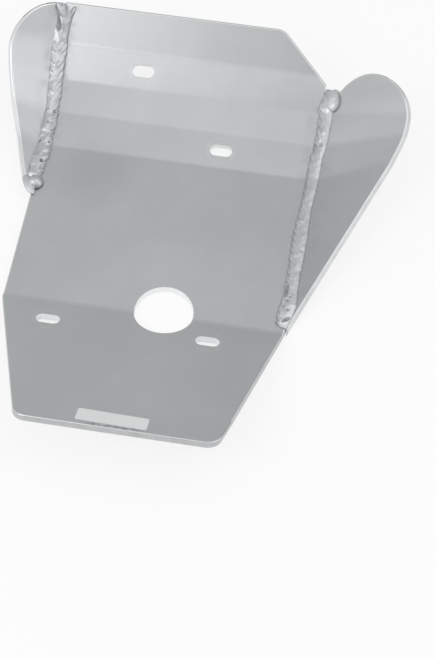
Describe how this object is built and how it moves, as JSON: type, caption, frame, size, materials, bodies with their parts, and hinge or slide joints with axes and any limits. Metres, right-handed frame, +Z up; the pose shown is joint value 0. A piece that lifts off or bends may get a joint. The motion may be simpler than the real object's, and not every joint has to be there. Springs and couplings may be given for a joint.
{
  "type": "motorcycle skid plate",
  "caption": "Bent aluminium engine skid plate with a flared wing welded along each side, obround mounting slots and a large drain hole.",
  "frame": {"origin": "underside of the flat middle panel, at its middle, on the centre line of the plate", "axes": "+Y towards the front edge of the plate, +Z up towards the engine, +X to the right seen with the front edge away from the viewer"},
  "size_m": [0.2378, 0.2736, 0.0496],
  "materials": {
    "plate": "mill finish, satin, with a fine rolling grain",
    "weld": "as welded, bright ripples"
  },
  "bodies": {
    "root": {"main_plate": "plate", "left_wing": "plate", "right_wing": "plate", "left_weld_bead": "weld", "right_weld_bead": "weld"}
  },
  "joints": []
}
